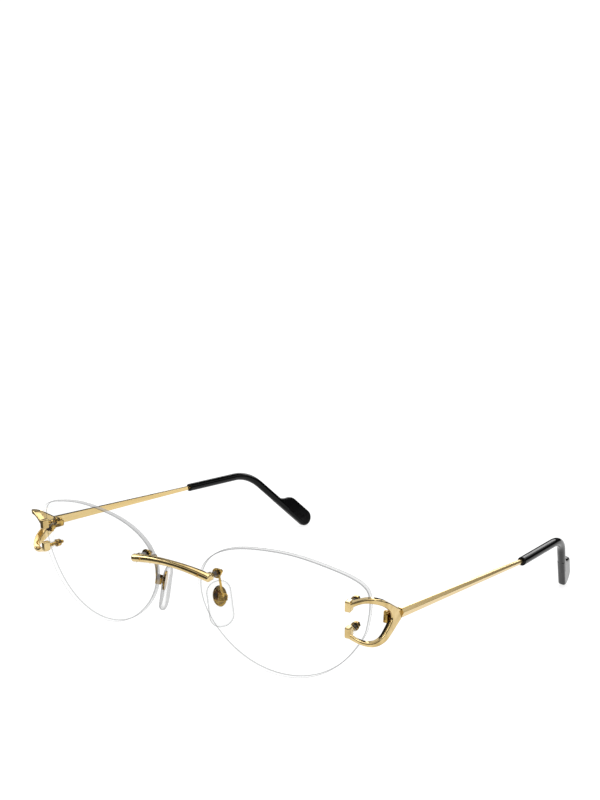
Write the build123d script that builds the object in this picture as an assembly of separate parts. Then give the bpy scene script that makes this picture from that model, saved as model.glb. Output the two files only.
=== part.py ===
from build123d import *
import os
from math import cos, radians, sin, sqrt, tan

os.makedirs("parts", exist_ok=True)

# Rimless eyeglasses, in millimetres. +X is the wearer's left, +Y runs back along the temples, +Z is up.
# Everything is drawn about the point midway between the two lens centres, for the wearer's left side, and
# mirrored for the right. The last step stands the glasses on the z = 0 plane, centred front to back.

# ---- driving dimensions ------------------------------------------------------------------------------
LENS_CENTRE_X = 36.13        # half the distance between the lens centres
LENS_RADIUS = 147.5          # front curve of the lens
LENS_THICKNESS = 1.6
LENS_WRAP = 6.2              # degrees, each lens turned back at its outer end
LENS_TILT = 6.86             # degrees, lower edge towards the face
LENS_BEVELS = (0.25, 0.22)   # safety bevels round the ground edge, front and rear

SCREW_R = 0.55               # studs and bridge screws
SCREW_TILT = 5.0             # degrees, screws rise towards the back with the lens
BUSHING_R = 0.85             # plastic bushing in the lens hole
FLANGE_R = 1.25
FLANGE_GAP = 0.7             # bushing flange between metal and lens front
WASHER = 0.45                # clear washer behind the lens
METAL_WASHER = 0.3
METAL_WASHER_R = 1.2
NUT_ACROSS = 2.0
NUT_HEIGHT = 1.1
SCREW_TAIL = 1.2             # screw left standing behind its nut
FIT = 0.01                   # radial gap of a screw in a tight hole
THROUGH = (-5.0, 2.0)        # local z limits that pass right through the lens and its hardware

TEMPORAL_HOLES = ((22.6, 8.1), (22.6, 0.6))      # across and up from the lens centre
NASAL_HOLE = (-22.4, 7.15)
ENDPIECE_TURN = 10.0         # degrees, endpiece blocks turned outwards

BLOCK = (1.7, 3.05, 2.4)     # endpiece block: width, height, depth
BLOCK_ROUND = 0.35
STUD_TOP = 2.14              # how far the endpiece studs reach in front of the lens
LOOP_WALL = 2.0              # thickness of the wrapped loop
LOOP_ROUND = 0.4             # rounding of the loop's edges
LOOP_MIDDLE = 4.3            # height at which the loop's plan is drawn
LOOP_START = Vector(58.2, 1.51)    # where the wall begins in plan, inside the blocks
LOOP_SWEEP = 18.0            # degrees, front of the loop swept back from square across
LOOP_CORNER_R = 3.4
LOOP_VIEW = 50.0             # degrees, direction in which the loop's outline is cut
JOINT_Y = 13.2               # where temple meets endpiece
OUTER_X = 68.15              # outer face at the joint

BRIDGE_HALF = 14.9
BRIDGE_R = 1.22
BRIDGE_WAIST_R = 1.05
BRIDGE_RISE = 1.4
BRIDGE_STUD_TOP = 2.2        # how far the bridge studs reach in front of the lens
BRIDGE_DIMPLE = (11.2, 0.38, 0.5)    # small blind hole near each end: place, radius, depth
EDGE_LUG = (Vector(7.6, -4.2, 7.5), Vector(7.6, -0.6, 7.5))      # lug bearing on the lens's nasal edge
EDGE_LUG_R = 0.5

HINGE = (65.15, 10.4)         # hinge axis in plan
HINGE_Z = 4.3                # middle of the hinge
KNUCKLE_R = 0.8
KNUCKLE = 0.95               # height of one knuckle
KNUCKLE_GAP = 0.06
HINGE_SCREW_R = 0.36
HINGE_HEAD = (0.6, 0.25)     # radius and height of the hinge screw's head
RUNNING = 0.03               # radial gap of a turning fit

TEMPLE_START = (67.6, 5.3)   # centre of the temple's section at the joint, across and up
TEMPLE_END = Vector(69.4, 83.9, 4.6)
TIP_BEND = Vector(67.6, 117.6, 5.0)
TIP_END = Vector(57.66, 146.07, -19.85)
TIP_BEND_R = 20.0
TIP_R = 1.42
CORE_R = 0.5
PADDLE_THICKNESS = 2.7
PADDLE_END = 39.2            # from the bend's corner to the paddle's round end

ARM_RING_R = 1.5
ARM_ROOT = (-1.6, -0.5)      # where the strip leaves its ring, across and up from the screw
ARM_REACH = 2.6              # how far the strip runs back before it turns down
ARM_BEND_R = 0.9
ARM_STRIP = (0.75, 0.5, 0.2)    # width, thickness, corner radius
ARM_BOX = (2.7, 2.2, 1.9)    # width, height, depth of the slotted box
ARM_BOX_RISE = 0.05
BOSS_W = 1.2                 # boss of the pad insert, across the box
BOSS_TOP = 0.35
INSERT_OVAL = (2.1, 3.1)     # half width and half length of the insert's plate
INSERT_Z = (-2.1, -1.6)
PAD_SCREW_R = 0.4
PAD_HEAD = (0.62, 0.3)       # radius and height of its head
PAD_PIVOT = Vector(12.3, 5.4, -1.1)
PAD_SPLAY = 30.0             # degrees, pad face turned back from square across
PAD_LEAN = 7.0               # degrees, pad tops lean together
PAD_TURN = 7.5               # degrees, pad bottoms turned back in their own plane
PAD_LENGTH = 13.9
PAD_WIDTH = 7.6
PAD_CORNER = 3.5
PAD_THICKNESS = 2.0
PAD_DROP = 2.4               # pad centre below the screw
PAD_BACK = -1.35             # rear face of the pad from the screw

STAND_PITCH = 0.545          # degrees, brings lens edges and tips down to one plane
FRAME_ORIGIN = Vector(0, 71.625, -19.01)


# ---- frames and helpers ------------------------------------------------------------------------------
def turned_plane(origin, turn, tilt):
    """Plane facing forward, turned outwards by turn and leaning down by tilt; its z points forward."""
    a = radians(turn)
    t = radians(tilt)
    forward = Vector(cos(t) * sin(a), -cos(t) * cos(a), -sin(t))
    return Plane(origin=origin, x_dir=Vector(cos(a), sin(a), 0), z_dir=forward)


LENS_PLANE = turned_plane(Vector(LENS_CENTRE_X, 0, 0), LENS_WRAP, LENS_TILT)


def on_lens(across, up):
    """Point on the lens's front surface."""
    sag = LENS_RADIUS - sqrt(LENS_RADIUS**2 - across**2 - up**2)
    return LENS_PLANE.from_local_coords(Vector(across, up, -sag))


def lens_ball(depth):
    """Ball whose surface is the lens surface at this depth behind the front."""
    ball = Rot(90, 0, 0) * Sphere(LENS_RADIUS - depth)
    return LENS_PLANE.location * Pos(0, 0, -LENS_RADIUS) * ball


def rod(radius, low, high):
    """Cylinder along local z from low to high."""
    return Pos(0, 0, low) * Cylinder(radius, high - low, align=(Align.CENTER, Align.CENTER, Align.MIN))


def block(x, y, z):
    """Box given by its (low, high) limits along each axis."""
    size = (x[1] - x[0], y[1] - y[0], z[1] - z[0])
    return Pos(x[0], y[0], z[0]) * Box(*size, align=(Align.MIN, Align.MIN, Align.MIN))


def bar(start, end, radius):
    """Round bar between two points."""
    way = end - start
    return Plane(origin=start, z_dir=way).location * rod(radius, 0, way.length)


def group(pieces):
    """One shape from several separate solids."""
    return Compound(children=list(pieces))


def mirrored(shape):
    solids = [mirror(solid, about=Plane.YZ) for solid in shape.solids()]
    return solids[0] if len(solids) == 1 else group(solids)


SCREW_FRAMES = {
    "upper": turned_plane(on_lens(*TEMPORAL_HOLES[0]), ENDPIECE_TURN, SCREW_TILT).location,
    "lower": turned_plane(on_lens(*TEMPORAL_HOLES[1]), ENDPIECE_TURN, SCREW_TILT).location,
    "bridge": turned_plane(on_lens(*NASAL_HOLE), 0, SCREW_TILT).location,
}
TEMPORAL_FRAMES = (SCREW_FRAMES["upper"], SCREW_FRAMES["lower"])
ALL_FRAMES = tuple(SCREW_FRAMES.values())
WASHER_BACK = -LENS_THICKNESS - WASHER                       # local z of the clear washer's rear face
NUT_SEAT = WASHER_BACK - METAL_WASHER
NUT_REAR = NUT_SEAT - NUT_HEIGHT
SCREW_REAR = NUT_REAR - SCREW_TAIL


# ---- lens and its hardware ---------------------------------------------------------------------------
def lens():
    outline = Spline(
        (26.7, 1.0), (27.6, 7.6), (26.6, 12.2), (23.3, 14.6), (17.4, 16.5), (5.0, 18.6), (-6.5, 18.3),
        (-13.2, 17.2), (-26.1, 9.2), (-28.0, 2.2), (-20.6, -11.2), (-2.5, -18.6), (12.5, -15.4),
        (19.5, -10.2), (24.2, -4.2),
        periodic=True,
    )
    blank = LENS_PLANE.location * extrude(make_face(outline), amount=12, both=True)
    body = (blank & lens_ball(0)) - lens_ball(LENS_THICKNESS)
    for bevel, order in zip(LENS_BEVELS, (0, -1)):
        rims = [edge for edge in body.edges() if edge.length > LENS_RADIUS / 2]
        rims.sort(key=lambda edge: edge.center().Y)
        body = chamfer(rims[order], bevel)
    for frame in ALL_FRAMES:
        body -= frame * rod(BUSHING_R, *THROUGH)
    return body


def bushings():
    """Clear top-hat bushing for each hole: flange in front of the lens, sleeve through it."""
    front = lens_ball(0)
    back = lens_ball(LENS_THICKNESS)
    pieces = []
    for frame in ALL_FRAMES:
        flange = frame * rod(FLANGE_R, -1, FLANGE_GAP) - front
        sleeve = frame * rod(BUSHING_R - FIT, -4, 0.3) - back
        pieces.append(flange + sleeve - frame * rod(SCREW_R + FIT, *THROUGH))
    return group(pieces)


def clear_washers():
    back = lens_ball(LENS_THICKNESS)
    pieces = []
    for frame in ALL_FRAMES:
        disc = frame * rod(FLANGE_R, WASHER_BACK, 0) & back
        pieces.append(disc - frame * rod(SCREW_R + FIT, *THROUGH))
    return group(pieces)


def metal_washers():
    ring = rod(METAL_WASHER_R, NUT_SEAT, WASHER_BACK) - rod(SCREW_R + FIT, *THROUGH)
    return group([frame * ring for frame in TEMPORAL_FRAMES])


def nut():
    """Hexagon nut with its corners turned off at the rear."""
    prism = Pos(0, 0, NUT_REAR) * extrude(RegularPolygon(NUT_ACROSS / 2, 6, major_radius=False), NUT_HEIGHT)
    turned = Pos(0, 0, NUT_REAR) * Cone(NUT_ACROSS / 2, NUT_ACROSS / 2 + 1.6, NUT_HEIGHT,
                                        align=(Align.CENTER, Align.CENTER, Align.MIN))
    return (prism & turned) - rod(SCREW_R + FIT, *THROUGH)


def nuts():
    return group([frame * nut() for frame in ALL_FRAMES])


def screw_tail(top):
    """Screw shank from its rounded rear end up to top."""
    shank = rod(SCREW_R, SCREW_REAR, top)
    rear = shank.edges().sort_by(Axis.Z)[0]
    return fillet(rear, SCREW_R * 0.7)


def endpiece_studs():
    return group([frame * screw_tail(STUD_TOP) for frame in TEMPORAL_FRAMES])


# ---- endpiece: an open loop wrapped round the corner --------------------------------------------------
def loop_wall():
    """Upright curved wall, front to side, that the loop is cut from."""
    start = LOOP_START
    side = OUTER_X - LOOP_WALL / 2
    corner = Vector(side, start.Y + (side - start.X) * tan(radians(LOOP_SWEEP)))
    path = FilletPolyline(start, corner, Vector(side, JOINT_Y + 4), radius=LOOP_CORNER_R)
    plan = trace(path, LOOP_WALL)
    lean = radians(SCREW_TILT)
    rise = Vector(0, -sin(lean), cos(lean))
    return extrude(Pos(0, 0, LOOP_MIDDLE) * plan, amount=12, dir=rise, both=True)


def loop_outline():
    """Outline of the open loop in a plane across LOOP_VIEW: x runs outwards and back, y is up."""
    top = Spline((0.9, 8.7), (3.5, 10.1), (7.3, 11.3), (10.4, 10.4), (14.5, 7.7), (17.5, 6.0))
    end = Line((17.5, 6.0), (17.5, 4.2))
    bottom = Spline(
        (17.5, 4.2), (15.4, 2.5), (13.5, 0.8), (10.4, -1.4), (6.8, -2.5), (3.9, -1.9), (1.7, -0.8),
    )
    low_end = Line((1.7, -0.8), (1.7, 0.7))
    inner = Spline(
        (1.7, 0.7), (2.4, 0.4), (4.2, -0.75), (6.8, -1.3), (9.0, -0.3), (11.3, 2.2), (13.0, 5.05),
        (10.9, 8.2), (8.0, 9.65), (4.5, 9.35), (2.1, 7.85), (0.9, 7.2),
    )
    top_end = Line((0.9, 7.2), (0.9, 8.7))
    return make_face([top, end, bottom, low_end, inner, top_end])


def open_loop():
    """The loop cut out of its wall, every edge rounded but those that meet the temple."""
    view = radians(LOOP_VIEW)
    plane = Plane(origin=(58.0, 0, 0), x_dir=(cos(view), sin(view), 0), z_dir=(sin(view), -cos(view), 0))
    cutter = extrude(plane.location * loop_outline(), amount=25, both=True)
    body = loop_wall() & cutter & block((50, 80), (-10, JOINT_Y), (-10, 20))
    rims = [edge for edge in body.edges() if edge.center().Y < JOINT_Y - 0.05]
    return fillet(rims, LOOP_ROUND)


def endpiece():
    """The loop with a block at each of its two ends, bored blind for the studs."""
    body = open_loop()
    width, height, depth = BLOCK
    for frame in TEMPORAL_FRAMES:
        lug = Pos(0, 0, FLANGE_GAP + depth / 2) * Box(width, height, depth)
        body += frame * fillet(lug.edges(), BLOCK_ROUND)
    for frame in TEMPORAL_FRAMES:
        body -= frame * rod(SCREW_R + FIT, -2, STUD_TOP + FIT)
    return body


# ---- bridge -------------------------------------------------------------------------------------------
def bridge_frame_point(x):
    """Centre line of the bridge bar at x: it arches up and a little forward in the middle."""
    end = SCREW_FRAMES["bridge"].position
    fall = (x / BRIDGE_HALF) ** 2
    y = end.Y - FLANGE_GAP - BRIDGE_R - 0.45 + 0.35 * fall
    return Vector(x, y, end.Z - 0.25 + BRIDGE_RISE * (1 - fall))


def bridge_bar():
    stations = (-1.0, -0.72, 0.0, 0.72, 1.0)
    radii = (BRIDGE_R, BRIDGE_R, BRIDGE_WAIST_R, BRIDGE_R, BRIDGE_R)
    path = Spline(*[bridge_frame_point(s * BRIDGE_HALF) for s in stations])
    sections = []
    for s, radius in zip((0.0, 0.14, 0.5, 0.86, 1.0), radii):
        sections.append(Plane(origin=path @ s, z_dir=path % s).location * Circle(radius))
    return sweep(sections, path=path, multisection=True)


def bridge():
    body = bridge_bar()
    ends = [body.faces().sort_by(Axis.X)[i].edges()[0] for i in (0, -1)]
    body = fillet(ends, 0.5)
    seat = rod(FLANGE_R, FLANGE_GAP, FLANGE_GAP + 1.4)
    frame = SCREW_FRAMES["bridge"]
    place, radius, depth = BRIDGE_DIMPLE
    surface = bridge_frame_point(place) - Vector(0, BRIDGE_R, 0)
    added = frame * seat + bar(*EDGE_LUG, EDGE_LUG_R)
    body = body + added + mirrored(added)
    hole = frame * rod(SCREW_R + FIT, -1, BRIDGE_STUD_TOP + FIT)
    dimple = bar(surface - Vector(0, 1, 0), surface + Vector(0, depth, 0), radius)
    for cut in (hole, dimple):
        body = body - cut - mirrored(cut)
    return body


def bridge_stud():
    return SCREW_FRAMES["bridge"] * screw_tail(BRIDGE_STUD_TOP)


# ---- nose pads ----------------------------------------------------------------------------------------
def pad_frame():
    """Frame at the pad screw: x runs back along the pad's width, y up its length, z away from the nose."""
    splay = radians(PAD_SPLAY)
    plane = Plane(origin=PAD_PIVOT, x_dir=(sin(splay), cos(splay), 0), z_dir=(cos(splay), -sin(splay), 0))
    return plane.location * Rot(-PAD_LEAN, 0, 0) * Rot(0, 0, PAD_TURN)


PAD_FRAME = pad_frame()


def pad_arm():
    """Ring plate behind the lens, thin strip down to the pad, and the slotted box for the pad's boss."""
    frame = SCREW_FRAMES["bridge"]
    ring = rod(ARM_RING_R, NUT_SEAT, WASHER_BACK)
    middle = (NUT_SEAT + WASHER_BACK) / 2
    start = (frame * Pos(*ARM_ROOT, middle)).position
    knee = (frame * Pos(*ARM_ROOT, middle - ARM_REACH)).position
    end = (PAD_FRAME * Pos(0, 0.2, 0.8)).position
    path = FilletPolyline(start, knee, end, radius=ARM_BEND_R)
    section = Plane(origin=path @ 0, x_dir=(1, 0, 0), z_dir=path % 0).location * RectangleRounded(*ARM_STRIP)
    strip = sweep(section, path=path)
    shell = Pos(0, 0, ARM_BOX_RISE) * Box(*ARM_BOX)
    shell = fillet(shell.edges(), 0.25)
    half = BOSS_W / 2 + RUNNING
    slot = block((-half, half), (-3, 3), (-3, BOSS_TOP + 0.23))
    hole = Rot(0, 90, 0) * rod(PAD_SCREW_R + FIT, -3, 3)
    body = frame * ring + strip + PAD_FRAME * shell
    return body - frame * rod(SCREW_R + FIT, *THROUGH) - PAD_FRAME * (slot + hole)


def pad_screw():
    """Screw across the box, the axle on which the pad rocks."""
    seat = ARM_BOX[0] / 2
    top = seat + PAD_HEAD[1]
    shank = rod(PAD_SCREW_R, -seat, seat)
    head = rod(PAD_HEAD[0], seat, top)
    slot = Pos(0, 0, top) * Box(2, 0.2, 0.3)
    return PAD_FRAME * Rot(0, 90, 0) * (shank + head - slot)


def insert_solid():
    """Oval metal plate with the boss that the screw passes through."""
    low, high = INSERT_Z
    plate = Pos(0, 0, low) * extrude(Ellipse(*INSERT_OVAL), high - low)
    boss = block((-BOSS_W / 2, BOSS_W / 2), (-0.8, 0.8), (high - 0.1, BOSS_TOP))
    rounded = fillet(boss.edges().filter_by(Axis.X).group_by(Axis.Z)[-1], 0.35)
    return plate + rounded


def pad_insert():
    return PAD_FRAME * (insert_solid() - Rot(0, 90, 0) * rod(PAD_SCREW_R + RUNNING, -3, 3))


def nose_pad():
    """Clear oval pad, softly rounded, closed round the plate of its insert."""
    oval = RectangleRounded(PAD_WIDTH, PAD_LENGTH, PAD_CORNER)
    body = Pos(0, -PAD_DROP, PAD_BACK - PAD_THICKNESS) * extrude(oval, PAD_THICKNESS)
    body = fillet(body.edges(), PAD_THICKNESS * 0.46)
    return PAD_FRAME * (body - insert_solid())


# ---- hinge --------------------------------------------------------------------------------------------
HINGE_LOW = HINGE_Z - 1.5 * KNUCKLE - KNUCKLE_GAP
HINGE_HIGH = HINGE_Z + 1.5 * KNUCKLE + KNUCKLE_GAP
MID_LOW = HINGE_Z - KNUCKLE / 2
MID_HIGH = HINGE_Z + KNUCKLE / 2
WALL_INNER = OUTER_X - LOOP_WALL


def hinge_front_leaf():
    """Plate on the inside of the loop with the upper and lower knuckles."""
    x, y = HINGE
    body = block((WALL_INNER - 0.4, WALL_INNER), (y - 1.1, y + 2.2), (HINGE_LOW, HINGE_HIGH))
    body = fillet(body.edges().filter_by(Axis.X), 0.5)
    for low, high in ((HINGE_LOW, MID_LOW - KNUCKLE_GAP), (MID_HIGH + KNUCKLE_GAP, HINGE_HIGH)):
        body += Pos(x, y, 0) * rod(KNUCKLE_R, low, high)
        body += block((x, WALL_INNER), (y - KNUCKLE_R, y + KNUCKLE_R), (low, high))
    swing = Pos(x, y, 0) * rod(KNUCKLE_R + 0.15, MID_LOW - KNUCKLE_GAP, MID_HIGH + KNUCKLE_GAP)
    return body - swing - Pos(x, y, 0) * rod(HINGE_SCREW_R + FIT, 0, 10)


def hinge_temple_leaf():
    """Middle knuckle, its arm, and the pad soldered to the inside of the temple."""
    x, y = HINGE
    inner = temple_inner_x(JOINT_Y)
    body = Pos(x, y, 0) * rod(KNUCKLE_R, MID_LOW, MID_HIGH)
    body += block((x - 0.7, x + 0.6), (y, JOINT_Y + 1.0), (MID_LOW, MID_HIGH))
    pad = block((x - 0.7, inner + 1.0), (JOINT_Y + 0.1, JOINT_Y + 2.1), (HINGE_Z - 0.45, HINGE_Z + 1.5))
    pad = fillet(pad.edges().filter_by(Axis.X), 0.5)
    return body + pad - temple_bar() - Pos(x, y, 0) * rod(HINGE_SCREW_R + RUNNING, 0, 10)


def hinge_screw():
    shank = rod(HINGE_SCREW_R, HINGE_LOW, HINGE_HIGH)
    radius, height = HINGE_HEAD
    head = rod(radius, HINGE_HIGH, HINGE_HIGH + height)
    head = fillet(head.edges().sort_by(Axis.Z)[-1], 0.12)
    slot = Pos(0, 0, HINGE_HIGH + height) * Box(2, 0.2, 0.24)
    return Pos(*HINGE, 0) * (shank + head - slot)


# ---- temple and tip -----------------------------------------------------------------------------------
TEMPLE_FRONT_Y = JOINT_Y + 0.06
# section of the temple at its front, relative to its middle: flat inside, ridge outside
TEMPLE_SECTION = ((-0.85, -1.35), (-0.85, 1.5), (0.5, 1.35), (1.3, 0.3), (0.5, -1.4))
TEMPLE_TAPER = 0.5


def temple_inner_x(y):
    share = (y - TEMPLE_FRONT_Y) / (TEMPLE_END.Y - TEMPLE_FRONT_Y)
    scale = 1 + (TEMPLE_TAPER - 1) * share
    return TEMPLE_START[0] + (TEMPLE_END.X - TEMPLE_START[0]) * share + TEMPLE_SECTION[0][0] * scale


def temple_section(middle, scale):
    points = [Vector(middle.X + scale * x, middle.Y, middle.Z + scale * z) for x, z in TEMPLE_SECTION]
    return make_face(Polyline(*points, close=True))


def temple_bar():
    front = Vector(TEMPLE_START[0], TEMPLE_FRONT_Y, TEMPLE_START[1])
    body = loft([temple_section(front, 1.0), temple_section(TEMPLE_END, TEMPLE_TAPER)], ruled=True)
    long_edges = [edge for edge in body.edges() if edge.length > 20]
    return fillet(long_edges, 0.12)


def tip_path():
    return FilletPolyline(TEMPLE_END, TIP_BEND, TIP_END, radius=TIP_BEND_R)


def tube(path, radius, share=1.0):
    """Round bar along the first share of a path."""
    way = path.trim(0, share) if share < 1 else path
    section = Plane(origin=way @ 0, z_dir=way % 0).location * Circle(radius)
    return sweep(section, path=way)


def temple():
    core = tube(tip_path(), CORE_R, 0.8)
    return temple_bar() + core


def paddle():
    """Flat end of the tip: x runs down the tip from the bend's corner, y towards its rear edge."""
    down = (TIP_END - TIP_BEND).normalized()
    rear = Vector(0, -down.Z, down.Y).normalized()
    face = down.cross(rear)
    plane = Plane(origin=TIP_BEND, x_dir=down, z_dir=face)
    front, back = -1.35, 5.25
    round_r = (back - front) / 2
    start = PADDLE_END - round_r
    heel = Spline(
        (26.8, back), (24.4, 4.6), (22.6, 3.0), (20.6, 1.65), (17.5, 1.15),
        tangents=((-1, 0), (-1, 0)),
    )
    outline = [
        Line((17.5, 1.15), (17.5, front)),
        Line((17.5, front), (start, front)),
        ThreePointArc((start, front), (PADDLE_END, front + round_r), (start, back)),
        Line((start, back), (26.8, back)),
        heel,
    ]
    body = extrude(plane.location * make_face(outline), amount=PADDLE_THICKNESS / 2, both=True)
    rims = [edge for edge in body.edges() if abs(plane.to_local_coords(edge.center()).Z) > 1]
    return fillet(rims, 0.9)


def temple_tip():
    """Black plastic tip, bored for the temple's core, with a countersunk mouth."""
    path = tip_path()
    body = tube(path, TIP_R, 0.82)
    mouth = fillet(body.faces().sort_by(Axis.Y)[0].edges()[0], 0.3)
    body = mouth + paddle()
    return body - tube(path, CORE_R + RUNNING, 0.81)


# ---- assembly -----------------------------------------------------------------------------------------
def left_side():
    return {
        "lens": lens(),
        "lens_bushings": bushings(),
        "lens_washers": clear_washers(),
        "lens_nuts": nuts(),
        "endpiece": endpiece(),
        "endpiece_studs": endpiece_studs(),
        "endpiece_washers": metal_washers(),
        "bridge_stud": bridge_stud(),
        "pad_arm": pad_arm(),
        "pad_screw": pad_screw(),
        "pad_insert": pad_insert(),
        "nose_pad": nose_pad(),
        "hinge_front_leaf": hinge_front_leaf(),
        "hinge_temple_leaf": hinge_temple_leaf(),
        "hinge_screw": hinge_screw(),
        "temple": temple(),
        "temple_tip": temple_tip(),
    }


STAND = Rot(STAND_PITCH, 0, 0) * Pos(-FRAME_ORIGIN)


def export(name, shape):
    placed = STAND * shape
    box = placed.bounding_box()
    print(f"{name:24s} {placed.volume:9.3f} mm3, z {box.min.Z:7.2f} to {box.max.Z:7.2f}, y {box.min.Y:7.2f}",
          f"to {box.max.Y:7.2f}, solids {len(placed.solids())}, valid {placed.is_valid}")
    export_step(placed, f"parts/{name}.step")


export("bridge", bridge())
for name, shape in left_side().items():
    export(f"{name}_left", shape)
    export(f"{name}_right", mirrored(shape))
pad_axis = PAD_FRAME.x_axis.direction
marks = {
    "hinge axis": Vector(*HINGE, HINGE_Z),
    "pad pivot": PAD_PIVOT,
    "pad axis end": PAD_PIVOT + pad_axis,
}
for label, point in marks.items():
    print(label, (STAND * Pos(point)).position)
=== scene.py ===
import bpy
import math
from mathutils import Matrix, Vector

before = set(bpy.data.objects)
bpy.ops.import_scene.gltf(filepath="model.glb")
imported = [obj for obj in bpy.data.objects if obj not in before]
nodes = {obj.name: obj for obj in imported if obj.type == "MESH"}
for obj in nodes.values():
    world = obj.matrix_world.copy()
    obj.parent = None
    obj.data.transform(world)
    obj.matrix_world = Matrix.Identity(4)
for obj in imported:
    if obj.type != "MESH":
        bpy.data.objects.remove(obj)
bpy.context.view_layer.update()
scene = bpy.context.scene
SIDES = {"left": 1, "right": -1}

# ---- camera: angles in degrees, lengths in metres ----------------------------------------------------
AZIMUTH = 35.59
ELEVATION = 8.62
ROLL = 2.76
AIM = Vector((0.01956, -0.04235, 0.07406))
DISTANCE = 0.3604
LENS = 54.675                # focal length in mm
CLIP = (0.01, 20)


def add_camera():
    azimuth, elevation, roll = (math.radians(angle) for angle in (AZIMUTH, ELEVATION, ROLL))
    level = math.cos(elevation)
    back = Vector((math.sin(azimuth) * level, -math.cos(azimuth) * level, math.sin(elevation)))
    right = Vector((math.cos(azimuth), math.sin(azimuth), 0))
    up = back.cross(right)
    turned_right = math.cos(roll) * right + math.sin(roll) * up
    turned_up = math.cos(roll) * up - math.sin(roll) * right
    data = bpy.data.cameras.new("camera")
    data.lens = LENS
    data.clip_start, data.clip_end = CLIP
    camera = bpy.data.objects.new("camera", data)
    scene.collection.objects.link(camera)
    camera.matrix_world = Matrix((turned_right, turned_up, back)).transposed().to_4x4()
    camera.location = AIM + back * DISTANCE
    scene.camera = camera


# ---- shader node helpers -----------------------------------------------------------------------------
def new_material(name):
    material = bpy.data.materials.new(name)
    material.use_nodes = True
    tree = material.node_tree
    tree.nodes.clear()
    return material, tree


def add(tree, kind, inputs=None, **settings):
    """A shader node. Each of its inputs gets a fixed value or is fed by another node's socket."""
    node = tree.nodes.new(kind)
    for key, value in settings.items():
        setattr(node, key, value)
    for key, value in (inputs or {}).items():
        if isinstance(value, bpy.types.NodeSocket):
            tree.links.new(value, node.inputs[key])
        else:
            node.inputs[key].default_value = value
    return node


def finish_material(tree, surface):
    add(tree, "ShaderNodeOutputMaterial", {"Surface": surface})


def opaque(color):
    return (*color, 1)


def coordinates(tree, kind):
    return add(tree, "ShaderNodeTexCoord").outputs[kind]


def millimetres(tree, stretch=(1, 1, 1)):
    """Object coordinates in millimetres, stretched along the axes."""
    scale = [1000 * share for share in stretch]
    mapping = add(tree, "ShaderNodeMapping", {"Scale": scale, "Vector": coordinates(tree, "Object")})
    return mapping.outputs["Vector"]


def noise(tree, where, scale, detail, roughness=0.5):
    inputs = {"Vector": where, "Scale": scale, "Detail": detail, "Roughness": roughness}
    return add(tree, "ShaderNodeTexNoise", inputs).outputs["Fac"]


def ramp(tree, source, stops):
    """Colour by the source's value; each stop is a place and an opaque colour."""
    node = add(tree, "ShaderNodeValToRGB", {"Fac": source})
    elements = node.color_ramp.elements
    while len(elements) < len(stops):
        elements.new(0.5)
    for element, (place, color) in zip(elements, stops):
        element.position = place
        element.color = opaque(color)
    return node.outputs["Color"]


def spread(tree, source, low, high, start=0.3, end=0.7):
    """Stretch start to end, by default the middle of a noise, over low to high."""
    inputs = {"Value": source, "From Min": start, "From Max": end, "To Min": low, "To Max": high}
    return add(tree, "ShaderNodeMapRange", inputs).outputs["Result"]


def bump(tree, height, distance, strength):
    inputs = {"Height": height, "Distance": distance, "Strength": strength}
    return add(tree, "ShaderNodeBump", inputs).outputs["Normal"]


def calculate(tree, operation, *values):
    return add(tree, "ShaderNodeMath", dict(enumerate(values)), operation=operation).outputs["Value"]


def dot(tree, socket, direction):
    inputs = {0: socket, 1: direction}
    return add(tree, "ShaderNodeVectorMath", inputs, operation="DOT_PRODUCT").outputs["Value"]


def mix(tree, share, first, second):
    """Two shaders in one; share says how much of the second shows."""
    return add(tree, "ShaderNodeMixShader", {"Fac": share, 1: first, 2: second}).outputs["Shader"]


def transparent(tree, tint=(1, 1, 1)):
    return add(tree, "ShaderNodeBsdfTransparent", {"Color": opaque(tint)}).outputs["BSDF"]


# ---- metal and black plastic -------------------------------------------------------------------------
def gold(name, light, dark, rough, grain, cloud=0.25, stretch=(1, 1, 1), grain_depth=0.000004):
    """Gold plate: slow changes of colour, fine polishing lines that change the gloss. In the copies for
    the small hardware the colour changes are painted shade and painted reflections.
    """
    material, tree = new_material(name)
    where = millimetres(tree, stretch)
    slow = noise(tree, where, cloud, 2.0)
    fine = noise(tree, where, grain, 4.0, 0.65)
    shader = add(tree, "ShaderNodeBsdfPrincipled", {
        "Metallic": 1.0,
        "Base Color": ramp(tree, slow, [(0.35, dark), (0.65, light)]),
        "Roughness": spread(tree, fine, *rough),
        "Normal": bump(tree, fine, grain_depth, 0.5),
    })
    finish_material(tree, shader.outputs["BSDF"])
    return material


def polished_gold():
    return gold("gold_polished", light=(0.76, 0.585, 0.29), dark=(0.54, 0.39, 0.165), rough=(0.05, 0.12),
                grain=2.2)


def drawn_gold():
    """Temples: the grain runs along the bar."""
    return gold("gold_drawn", light=(0.77, 0.585, 0.28), dark=(0.68, 0.50, 0.22), rough=(0.12, 0.22),
                grain=1.4, stretch=(3, 0.12, 3), grain_depth=0.000008)


# The dark and bright patches, about a millimetre across, are painted shade and painted reflections on the
# nuts, studs, washers and screws.
def turned_gold_painted_light():
    return gold("gold_turned_painted_light", light=(0.80, 0.53, 0.15), dark=(0.28, 0.15, 0.025), rough=(0.06, 0.16),
                grain=6.0, cloud=1.1)


# A darker copy of the gold: painted shade on the pad inserts, pad arms and hinge leaves.
def shaded_gold():
    return gold("gold_painted_shade", light=(0.60, 0.39, 0.10), dark=(0.14, 0.080, 0.018), rough=(0.05, 0.14),
                grain=6.0, cloud=0.45)


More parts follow.
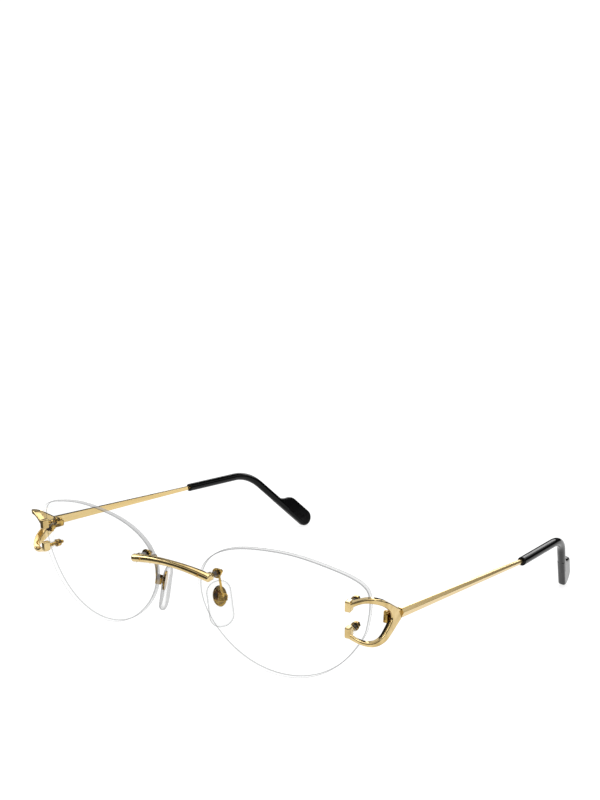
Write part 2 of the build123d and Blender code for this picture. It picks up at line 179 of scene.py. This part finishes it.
def black_plastic():
    """Moulded glossy black: faint flow ripple, light scuffs along the tip that change the gloss."""
    material, tree = new_material("tip_black")
    ripple = noise(tree, millimetres(tree), 0.35, 2.0)
    scuff = noise(tree, millimetres(tree, (1, 0.15, 1)), 3.0, 6.0, 0.7)
    deep, pale = (0.0015, 0.0015, 0.0017), (0.003, 0.003, 0.0034)
    shader = add(tree, "ShaderNodeBsdfPrincipled", {
        "Base Color": ramp(tree, ripple, [(0.3, deep), (0.7, pale)]),
        "Roughness": spread(tree, scuff, 0.06, 0.16),
        "Normal": bump(tree, ripple, 0.00003, 0.6),
        "IOR": 1.5,
        "Specular IOR Level": 0.14,
    })
    finish_material(tree, shader.outputs["BSDF"])
    return material


# ---- clear plastic -----------------------------------------------------------------------------------
def rim_share(tree, head_on, at_rim, power):
    """A share that is small where a surface is seen square on and grows towards its rim."""
    facing = add(tree, "ShaderNodeLayerWeight", {"Blend": 0.5}).outputs["Facing"]
    return spread(tree, calculate(tree, "POWER", facing, power), head_on, at_rim, 0, 1)


def mirror_share(tree, ior):
    """How much a clear surface mirrors, the same from either side of its wall."""
    return rim_share(tree, ((ior - 1) / (ior + 1)) ** 2, 1, 5)


def clear_mix(tree, tint, ior, roughness, dull_layer, dull_share):
    """See-through plastic with a mirror gloss on top and a dull layer mixed in: a faint smudge film on
    the lenses, painted shade along the rim of the small clear parts.
    """
    inside = mix(tree, dull_share, transparent(tree, tint), dull_layer)
    gloss = add(tree, "ShaderNodeBsdfGlossy", {"Roughness": roughness})
    return mix(tree, mirror_share(tree, ior), inside, gloss.outputs["BSDF"])


def clear_plastic(name, tint, ior, dull_layer, shares, power):
    """Small clear part with a dull colour mixed in towards its rim: painted shade, in place of the
    surroundings a clear solid bends into view at its edges.
    """
    material, tree = new_material(name)
    cloud = noise(tree, millimetres(tree), 0.5, 3.0)
    faint = tuple(0.92 * part for part in dull_layer)
    color = ramp(tree, cloud, [(0.3, faint), (0.7, dull_layer)])
    dull = add(tree, "ShaderNodeBsdfDiffuse", {"Color": color}).outputs["BSDF"]
    roughness = spread(tree, cloud, 0.08, 0.2)
    finish_material(tree, clear_mix(tree, tint, ior, roughness, dull, rim_share(tree, *shares, power)))
    return material


def pad_plastic():
    # The grey mixed in towards the rim is painted shade.
    return clear_plastic("pad_clear", tint=(0.985, 0.985, 0.985), ior=1.14, dull_layer=(0.26, 0.26, 0.26),
                         shares=(0.02, 0.95), power=2.0)


def washer_plastic():
    # The amber mixed in towards the rim is painted colour along the rim, in place of what the washer's
    # edge bends into view.
    return clear_plastic("washer_clear", tint=(0.98, 0.97, 0.94), ior=1.15, dull_layer=(0.45, 0.33, 0.15),
                         shares=(0.02, 0.25), power=3.0)


# ---- lens --------------------------------------------------------------------------------------------
LENS_WRAP = 6.2              # degrees, each lens turned back at its outer end
LENS_TILT = 6.33             # degrees, lower edge towards the face, as the glasses stand
FACE_LIMIT = 0.92            # how squarely a surface has to look along the lens's axis to be a face
BEVEL_LIMIT = 0.35           # and to be a bevel; the rest is the ground wall
PAINTED_LIGHT_RAMP = (0.5, 0.85)         # painted light: where the ground edge starts to show more, and where it shows most
WALL_GREY = (0.38, 0.38, 0.39)
# The bevels have the same ground finish as the wall, painted darker as shade.
BEVEL_SHADE_GREY = (0.12, 0.12, 0.124)
BEVEL_SHARES = (0.50, 0.64)
WALL_SHARE_LOW = 0.06
# for each lens: the direction in its box along which the ground wall and bevels show more, and how much
# the wall shows there; painted light in place of how light falls on the lens edge
PAINTED_EDGE_LIGHT = {"left": ((0, 0, 1), 0.35), "right": ((0.55, 0, 0.55), 0.65)}


def lens_forward(side):
    """The way a lens's front looks."""
    wrap = math.radians(LENS_WRAP) * SIDES[side]
    tilt = math.radians(LENS_TILT)
    return (math.cos(tilt) * math.sin(wrap), -math.cos(tilt) * math.cos(wrap), -math.sin(tilt))


def ground_shader(tree, where, color, toward, shares):
    """Finely ground plastic: dull, half see-through, with grinding marks. How much of it shows rises
    along a given direction in the lens's box: painted light.
    """
    marks = noise(tree, where, 6.0, 4.0, 0.7)
    dark = tuple(0.8 * part for part in color)
    dull = add(tree, "ShaderNodeBsdfPrincipled", {
        "Roughness": 0.45,
        "Base Color": ramp(tree, marks, [(0.3, dark), (0.7, color)]),
        "Normal": bump(tree, marks, 0.00001, 0.4),
    })
    along = dot(tree, coordinates(tree, "Generated"), toward)
    share = spread(tree, along, *shares, *PAINTED_LIGHT_RAMP)
    return mix(tree, share, transparent(tree), dull.outputs["BSDF"])


def lens_plastic(side):
    """Clear faces, a light ground wall and darker bevels, told apart by the way each surface looks. The
    darker bevels are painted shade; wall and bevels showing more towards one side of each lens is painted
    light.
    """
    material, tree = new_material(f"lens_clear_{side}")
    where = millimetres(tree)
    smear = noise(tree, where, 0.08, 3.0)
    film = add(tree, "ShaderNodeBsdfDiffuse", {"Color": (0.8, 0.85, 0.85, 1)}).outputs["BSDF"]
    faces = clear_mix(tree, (0.985, 0.99, 0.99), 1.12, spread(tree, smear, 0.0, 0.03), film,
                      spread(tree, smear, 0.0, 0.004))
    toward, wall_share = PAINTED_EDGE_LIGHT[side]
    wall = ground_shader(tree, where, WALL_GREY, toward, (WALL_SHARE_LOW, wall_share))
    bevel = ground_shader(tree, where, BEVEL_SHADE_GREY, toward, BEVEL_SHARES)
    normal = add(tree, "ShaderNodeNewGeometry").outputs["True Normal"]
    square = calculate(tree, "ABSOLUTE", dot(tree, normal, lens_forward(side)))
    edge = mix(tree, calculate(tree, "GREATER_THAN", square, BEVEL_LIMIT), wall, bevel)
    finish_material(tree, mix(tree, calculate(tree, "GREATER_THAN", square, FACE_LIMIT), edge, faces))
    return material


# ---- dress the model ---------------------------------------------------------------------------------
EDGE_ROUND = 0.00008         # metres
EDGE_ANGLE = 35              # degrees, sharper corners are rounded
INSERT_PROUD = 0.00003       # metres
ROUNDED = ("bridge", "endpiece", "pad_arm", "hinge", "lens_nuts")


def dress(material, *names):
    """Put one material on each named node, or on its left and right ones."""
    for name, obj in nodes.items():
        if name in names or name.rsplit("_", 1)[0] in names:
            obj.data.materials.clear()
            obj.data.materials.append(material)


def dress_all():
    dress(polished_gold(), "bridge", "endpiece")
    dress(drawn_gold(), "temple")
    dress(turned_gold_painted_light(), "lens_nuts", "endpiece_studs", "endpiece_washers", "bridge_stud", "pad_screw",
          "hinge_screw")
    dress(shaded_gold(), "pad_insert", "pad_arm", "hinge_front_leaf", "hinge_temple_leaf")
    dress(black_plastic(), "temple_tip")
    for side in SIDES:
        dress(lens_plastic(side), f"lens_{side}")
    dress(pad_plastic(), "nose_pad")
    dress(washer_plastic(), "lens_bushings", "lens_washers")


def round_edges():
    """Metal catches a thin highlight along its edges."""
    for name, obj in nodes.items():
        if name.startswith(ROUNDED):
            modifier = obj.modifiers.new("soft_edges", "BEVEL")
            modifier.width = EDGE_ROUND
            modifier.segments = 2
            modifier.limit_method = "ANGLE"
            modifier.angle_limit = math.radians(EDGE_ANGLE)
            modifier.harden_normals = False


def seat_inserts():
    """The insert's plate sits a hair proud of the pocket moulded round it, so that the metal shows."""
    for side in SIDES:
        modifier = nodes[f"pad_insert_{side}"].modifiers.new("proud", "DISPLACE")
        modifier.strength = INSERT_PROUD
        modifier.mid_level = 0.0


# ---- studio: metres and watts ------------------------------------------------------------------------
LIGHT_POWER = 2.5
# name, place, target, width and height
LIGHTS = (
    ("key", (0.75, -0.95, 0.75), (0.02, -0.03, 0.02), (0.4, 0.5)),
    ("fill", (-1.0, -0.5, 0.6), (0, 0, 0.02), (0.4, 0.6)),
    ("rim", (-0.3, 1.1, 0.6), (0, 0, 0.02), (0.9, 0.25)),
)
FLOOR_RADIUS = 0.40
FLOOR_CENTRE = (0.08, 0.27, -0.0002)     # reaches only a little way in front of the lenses
FLOOR_GREY = (0.25, 0.25, 0.25)
FLOOR_GLOW = 0.84
BACKDROP_GLOW = 1.1
# the room's glow by height, from the horizon at 0 to straight up at 1
ROOM_GLOW = ((0.0, 0.14), (0.02, 0.02), (0.32, 0.02), (0.38, 0.90), (0.53, 0.90),
             (0.58, 0.03), (0.72, 0.03), (0.80, 1.2), (0.92, 2.4))


def add_floor():
    bpy.ops.mesh.primitive_circle_add(vertices=96, radius=FLOOR_RADIUS, fill_type="NGON",
                                      location=FLOOR_CENTRE)
    floor = bpy.context.object
    floor.name = "floor"
    material, tree = new_material("floor_white")
    dull = add(tree, "ShaderNodeBsdfDiffuse", {"Color": opaque(FLOOR_GREY)})
    glow = add(tree, "ShaderNodeEmission", {"Strength": FLOOR_GLOW})
    lit = add(tree, "ShaderNodeAddShader", {0: dull.outputs["BSDF"], 1: glow.outputs["Emission"]})
    finish_material(tree, lit.outputs["Shader"])
    floor.data.materials.append(material)


def background(tree, color, strength):
    return add(tree, "ShaderNodeBackground", {"Color": color, "Strength": strength}).outputs["Background"]


def add_world():
    """White backdrop, and a room of bright and dark bands for polished metal to mirror."""
    world = bpy.data.worlds.new("studio")
    scene.world = world
    world.use_nodes = True
    tree = world.node_tree
    tree.nodes.clear()
    direction = add(tree, "ShaderNodeSeparateXYZ", {"Vector": coordinates(tree, "Generated")})
    glow = ramp(tree, direction.outputs["Z"], [(height, (level,) * 3) for height, level in ROOM_GLOW])
    room = background(tree, glow, 1.0)
    backdrop = background(tree, (1, 1, 1, 1), BACKDROP_GLOW)
    seen = add(tree, "ShaderNodeLightPath").outputs["Is Camera Ray"]
    add(tree, "ShaderNodeOutputWorld", {"Surface": mix(tree, seen, room, backdrop)})


def add_lights():
    for name, place, target, size in LIGHTS:
        data = bpy.data.lights.new(name, "AREA")
        data.shape = "RECTANGLE"
        data.size, data.size_y = size
        data.energy = LIGHT_POWER
        lamp = bpy.data.objects.new(name, data)
        scene.collection.objects.link(lamp)
        lamp.location = place
        lamp.rotation_euler = (Vector(target) - Vector(place)).to_track_quat("-Z", "Y").to_euler()


add_camera()
dress_all()
round_edges()
seat_inserts()
add_floor()
add_world()
add_lights()
scene.view_settings.view_transform = "Standard"
